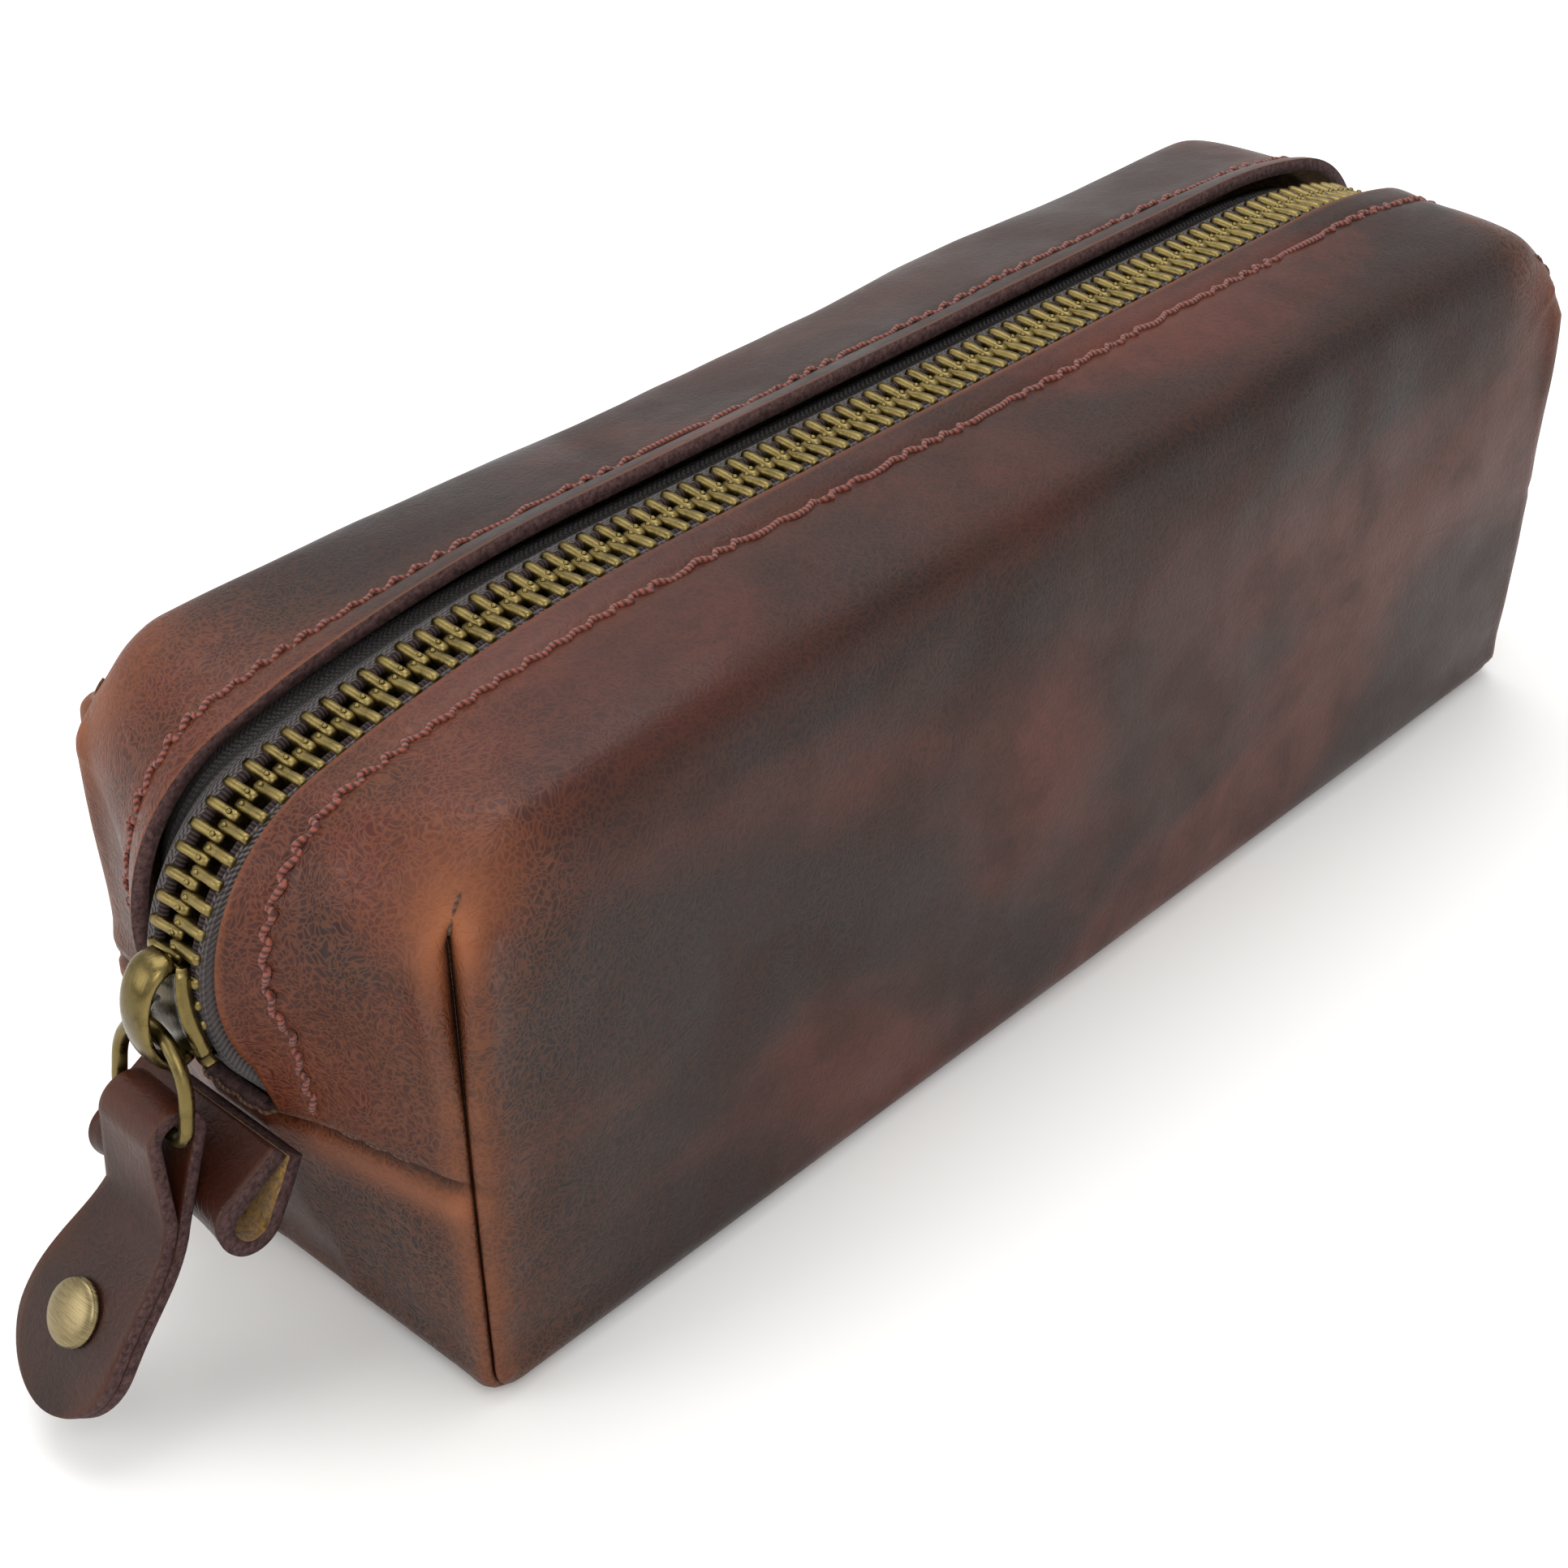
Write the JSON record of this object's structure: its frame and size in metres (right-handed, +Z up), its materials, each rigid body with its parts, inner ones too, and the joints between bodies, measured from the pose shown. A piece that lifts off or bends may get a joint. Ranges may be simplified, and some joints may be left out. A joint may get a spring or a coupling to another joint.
{
  "type": "shaving kit bag",
  "caption": "Long box-shaped leather pouch for shaving gear, with a metal zip over the top and round both ends, a riveted leather pull on a wire ring and a folded end tab",
  "frame": {"origin": "centre of the flat bottom, on the surface the bag stands on", "axes": "+X along the bag's length away from the closed zip's slider, +Y to the left seen from the slider end looking along +X, +Z up"},
  "size_m": [0.2501, 0.0624, 0.0779],
  "materials": {
    "pull_up_leather": "waxed pull-up leather, mottled brown",
    "strap_leather": "dark waxed leather, raw cut edges",
    "zip_tape": "dark herringbone tape",
    "antique_brass": "antique brass, worn bright on the high points",
    "spring_steel": "bright spring steel",
    "thread": "twisted waxed thread"
  },
  "bodies": {
    "bag": {"bottom_stop": "antique_brass", "corner_stitching_far_left": "thread", "corner_stitching_far_right": "thread", "corner_stitching_near_left": "thread", "corner_stitching_near_right": "thread", "end_stitching_far": "thread", "end_stitching_near": "thread", "leather_body": "pull_up_leather", "top_stop_left": "antique_brass", "top_stop_right": "antique_brass", "zip_stitching_left": "thread", "zip_stitching_right": "thread", "zip_tape_left": "zip_tape", "zip_tape_right": "zip_tape", "zip_teeth_left": "antique_brass", "zip_teeth_right": "antique_brass"},
    "slider": {"slider_body": "antique_brass", "slider_crown": "antique_brass", "slider_lock_spring": "spring_steel", "slider_lower_plate": "antique_brass"},
    "ring": {"pull_ring": "antique_brass"},
    "strap": {"pull_strap": "strap_leather", "rivet_cap": "antique_brass", "rivet_post": "antique_brass"},
    "tab": {"end_tab": "strap_leather"}
  },
  "joints": [
    {"name": "slider_travel", "type": "hinge", "parent": "bag", "child": "slider", "pos_m": [-0.0958, 0, 0.0495], "axis": [0, 1, 0], "range_deg": [0, 64]},
    {"name": "ring_swing", "type": "hinge", "parent": "slider", "child": "ring", "pos_m": [-0.11889, 0, 0.04668], "axis": [0.0523, 0.9986, 0], "range_deg": [0, 120]},
    {"name": "strap_swing", "type": "hinge", "parent": "ring", "child": "strap", "pos_m": [-0.12085, 0.0001, 0.03555], "axis": [0.0523, 0.9986, 0], "range_deg": [0, 60]},
    {"name": "tab_flex", "type": "hinge", "parent": "bag", "child": "tab", "pos_m": [-0.11178, 0, 0.03105], "axis": [0, 1, 0], "range_deg": [-30, 0], "stiffness_Nm_per_rad": 0.02}
  ]
}
